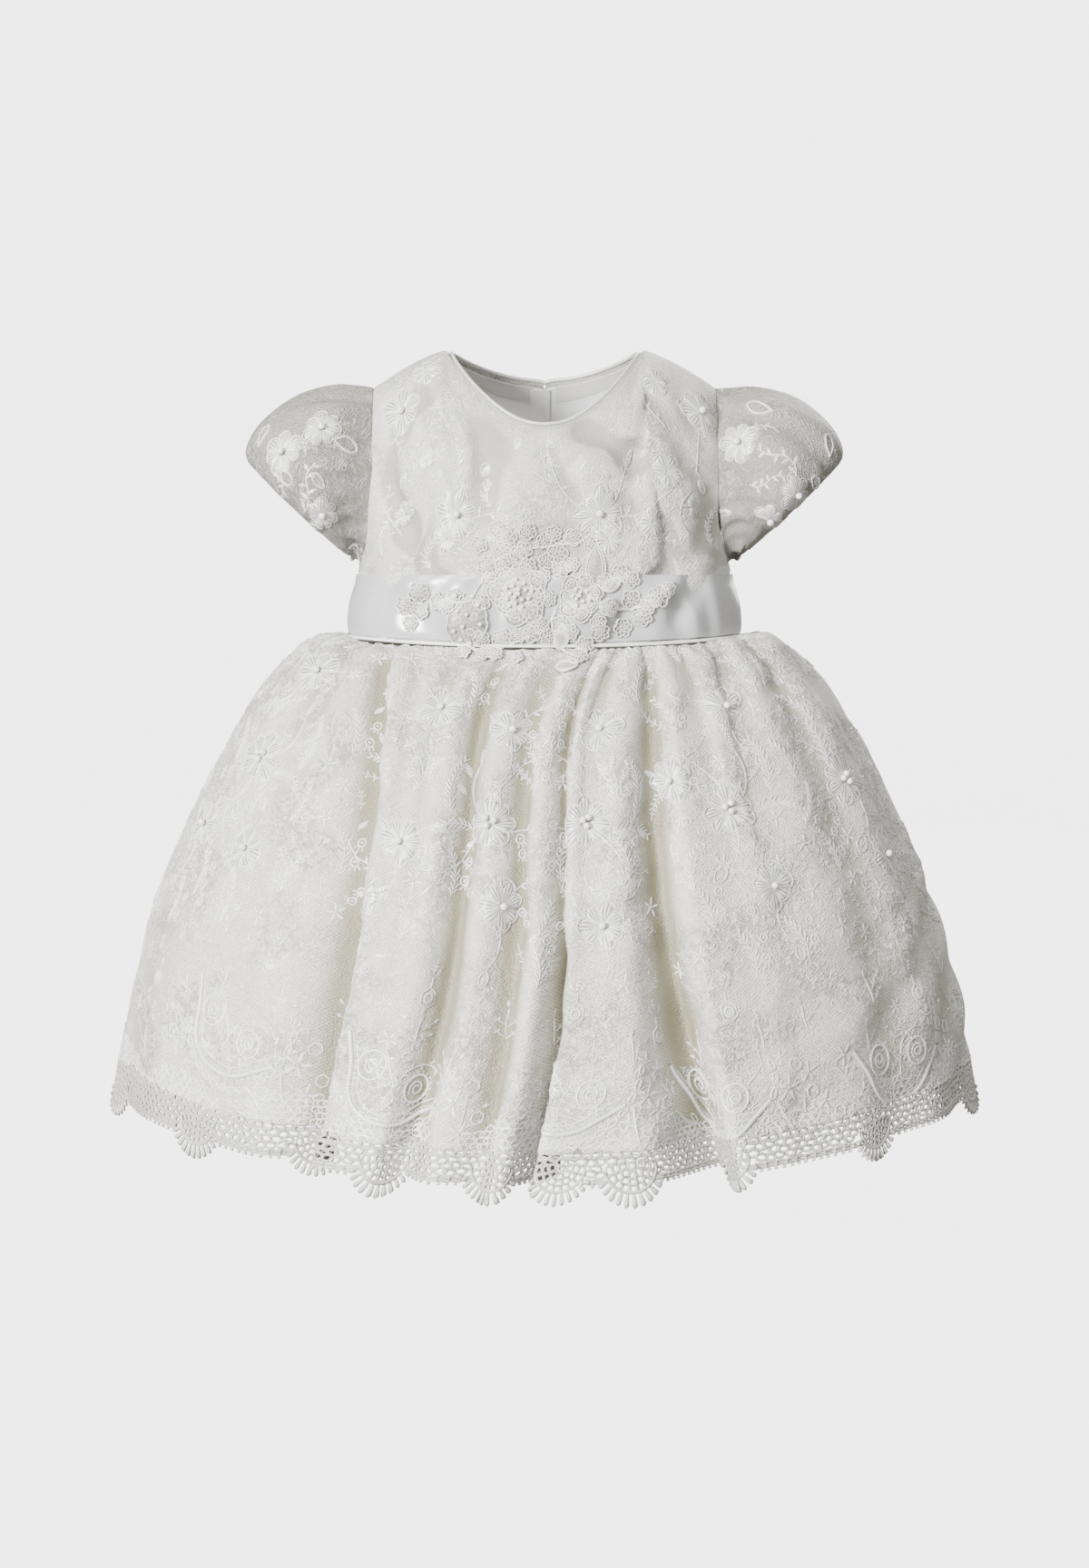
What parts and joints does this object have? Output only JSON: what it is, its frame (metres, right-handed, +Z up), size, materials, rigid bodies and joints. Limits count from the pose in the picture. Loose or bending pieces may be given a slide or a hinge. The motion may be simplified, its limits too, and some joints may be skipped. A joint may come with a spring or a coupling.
{
  "type": "christening dress",
  "caption": "Baby's occasion dress filled out as worn: bodice, puff sleeves, sash with a flower spray, gathered satin skirt under lace, scalloped openwork hem.",
  "frame": {"origin": "midway between the undersides of the two shoulder seams, where the wearer's shoulders carry the dress", "axes": "+Z up, -Y the dress's front, +X the wearer's left"},
  "size_m": [0.483, 0.3827, 0.4468],
  "materials": {
    "lace_on_satin": "ivory embroidered net over soft satin",
    "ivory_satin": "soft ivory satin",
    "white_satin": "smooth bright satin",
    "ivory_lace": "ivory embroidered and corded lace"
  },
  "bodies": {
    "root": {"bodice_front": "lace_on_satin", "bodice_back_left": "lace_on_satin", "bodice_back_right": "lace_on_satin", "back_lining_left": "white_satin", "back_lining_right": "white_satin", "neck_facing_left": "white_satin", "neck_facing_right": "white_satin", "back_placket": "white_satin", "neck_cord": "white_satin", "sash": "white_satin", "waist_cord": "white_satin", "sash_applique": "ivory_lace", "sleeve_left": "lace_on_satin", "sleeve_right": "lace_on_satin", "skirt_satin_front": "ivory_satin", "skirt_satin_back": "ivory_satin", "skirt_lace_front": "ivory_lace", "skirt_lace_back": "ivory_lace", "lace_edging_front": "ivory_lace", "lace_edging_back": "ivory_lace", "back_button_1": "white_satin", "back_button_2": "white_satin", "back_button_3": "white_satin"}
  },
  "joints": []
}
